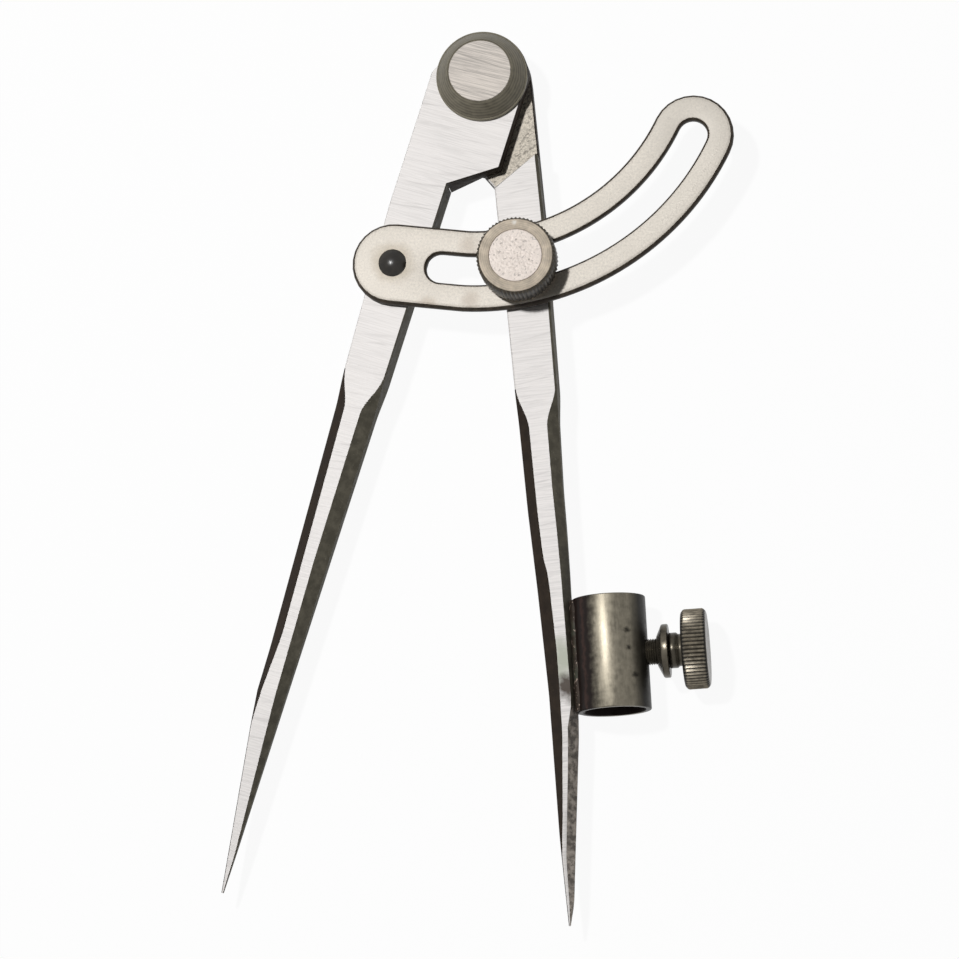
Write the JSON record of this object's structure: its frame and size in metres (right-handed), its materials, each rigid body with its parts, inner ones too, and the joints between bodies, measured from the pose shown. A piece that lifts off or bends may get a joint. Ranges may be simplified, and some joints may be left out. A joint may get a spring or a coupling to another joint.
{
  "type": "wing compass",
  "caption": "Workshop wing compass: pointed steel legs on a riveted hinge, slotted wing with clamp knob, pencil tube with knurled screw.",
  "frame": {"origin": "hinge axis at the outer face of the rear hinge washer, on which the compass can be laid", "axes": "+Z out of the front face along the hinge axis, +Y from the points towards the hinge along the middle line of the legs, +X towards the leg with the pencil tube"},
  "size_m": [0.1025, 0.1972, 0.025],
  "materials": {
    "ground_steel": "ground bright faces, dark forged bevels",
    "rivet_steel": "ground flat with fine scratches",
    "dark_washer": "turned and oil-blackened",
    "wing_steel": "satin, grainy, faint stains",
    "black_rivet": "blackened, domed",
    "knob_steel": "satin rim, straight knurl",
    "pitted_steel": "pale, pitted",
    "tube_steel": "dark drawn tube, small pits",
    "braze": "darkened braze bead",
    "screw_steel": "dark turned steel, straight knurl"
  },
  "bodies": {
    "left_leg": {"left_leg": "ground_steel", "hinge_rivet": "rivet_steel", "front_hinge_washer": "dark_washer", "rear_hinge_washer": "dark_washer", "wing_rivet": "black_rivet"},
    "right_leg": {"right_leg": "ground_steel", "pencil_tube": "tube_steel", "tube_braze": "braze"},
    "wing": {"wing": "wing_steel"},
    "clamp_travel": {"clamp_washer": "dark_washer"},
    "clamp_knob": {"clamp_knob": "knob_steel", "clamp_screw": "pitted_steel"},
    "screw_travel": {"pencil_screw_collar": "screw_steel"},
    "pencil_screw": {"pencil_screw_head": "screw_steel", "pencil_screw_stem": "screw_steel"}
  },
  "joints": [
    {"name": "leg_hinge", "type": "hinge", "parent": "left_leg", "child": "right_leg", "pos_m": [0, 0, 0], "axis": [0, 0, 1], "range_deg": [-22.6, 67]},
    {"name": "wing_pivot", "type": "hinge", "parent": "left_leg", "child": "wing", "pos_m": [-0.01521, -0.04466, 0], "axis": [0, 0, 1], "range_deg": [-1.8, 5.2]},
    {"name": "clamp_slide", "type": "slide", "parent": "right_leg", "child": "clamp_travel", "axis": [0, 0, 1], "range_m": [0, 0.0021]},
    {"name": "clamp_turn", "type": "hinge", "parent": "clamp_travel", "child": "clamp_knob", "pos_m": [0.0132, -0.04283, 0], "axis": [0, 0, 1], "range_deg": [0, 900]},
    {"name": "pencil_screw_slide", "type": "slide", "parent": "right_leg", "child": "screw_travel", "axis": [0.9874, 0.1582, 0], "range_m": [-0.0014, 0.0006]},
    {"name": "pencil_screw_turn", "type": "hinge", "parent": "screw_travel", "child": "pencil_screw", "pos_m": [0.04142, -0.12693, 0.00545], "axis": [0.9874, 0.1582, 0], "range_deg": [-468, 180]}
  ],
  "couplings": [
    {"joint": "wing_pivot", "follows": "leg_hinge", "ratio": 0.077},
    {"joint": "clamp_slide", "follows": "clamp_turn", "m_per_rad": 0.00012732},
    {"joint": "pencil_screw_slide", "follows": "pencil_screw_turn", "m_per_rad": 0.00015915}
  ]
}
